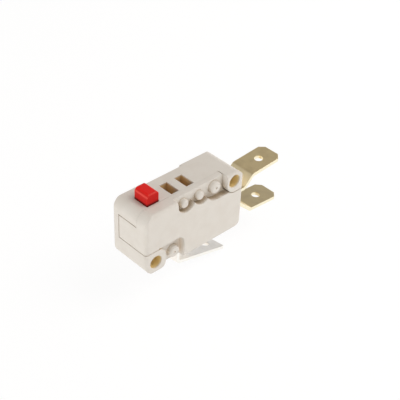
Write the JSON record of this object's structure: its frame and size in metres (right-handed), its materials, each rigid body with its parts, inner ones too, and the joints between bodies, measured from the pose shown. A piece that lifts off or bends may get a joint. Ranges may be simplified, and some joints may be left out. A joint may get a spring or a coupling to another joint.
{
  "type": "micro switch",
  "caption": "Snap-action micro switch: cream moulded case with a red push button, slots in its top, mounting holes, flat blade terminals and a spring-driven changeover contact inside.",
  "frame": {"origin": "on the axis of the lower mounting hole, half way through the body's depth", "axes": "+X from the button end to the terminal end, +Y from the cover to the back, +Z towards the push button"},
  "size_m": [0.0423, 0.0104, 0.0258],
  "materials": {
    "housing_plastic": "satin moulding",
    "cover_plastic": "satin moulding",
    "button_plastic": "semi-gloss moulding",
    "lever_steel": "stamped",
    "spring_bronze": "rolled bronze",
    "contact_silver": "bright silver",
    "plated_metal": "tin plated",
    "terminal_brass": "rolled, slightly dull"
  },
  "bodies": {
    "case": {"housing": "housing_plastic", "cover": "cover_plastic", "common_terminal": "plated_metal", "normally_closed_terminal": "terminal_brass", "normally_closed_contact": "contact_silver", "normally_open_terminal": "terminal_brass", "normally_open_contact": "contact_silver"},
    "button": {"plunger": "button_plastic"},
    "lever": {"actuating_lever": "lever_steel"},
    "blade": {"contact_blade": "spring_bronze", "moving_contact": "contact_silver"},
    "spring": {"tension_spring": "spring_bronze"}
  },
  "joints": [
    {"name": "plunger_press", "type": "slide", "parent": "case", "child": "button", "axis": [0, 0, -1], "range_m": [0, 0.0015], "stiffness_N_per_m": 1000},
    {"name": "lever_rock", "type": "hinge", "parent": "case", "child": "lever", "pos_m": [-0.0006, 0.00014, 0.0042], "axis": [0, 1, 0], "range_deg": [0, 33.4]},
    {"name": "blade_swing", "type": "hinge", "parent": "case", "child": "blade", "pos_m": [0.0085, 0.00014, 0.0042], "axis": [0, 1, 0], "range_deg": [0, 3.33]},
    {"name": "spring_swing", "type": "hinge", "parent": "blade", "child": "spring", "pos_m": [0.0147, 0.00014, 0.00438], "axis": [0, -1, 0], "range_deg": [0, 19.7]}
  ],
  "couplings": [
    {"joint": "lever_rock", "follows": "plunger_press", "rad_per_m": 388.6},
    {"joint": "blade_swing", "follows": "plunger_press", "rad_per_m": 38.67},
    {"joint": "spring_swing", "follows": "plunger_press", "rad_per_m": 229.2}
  ]
}
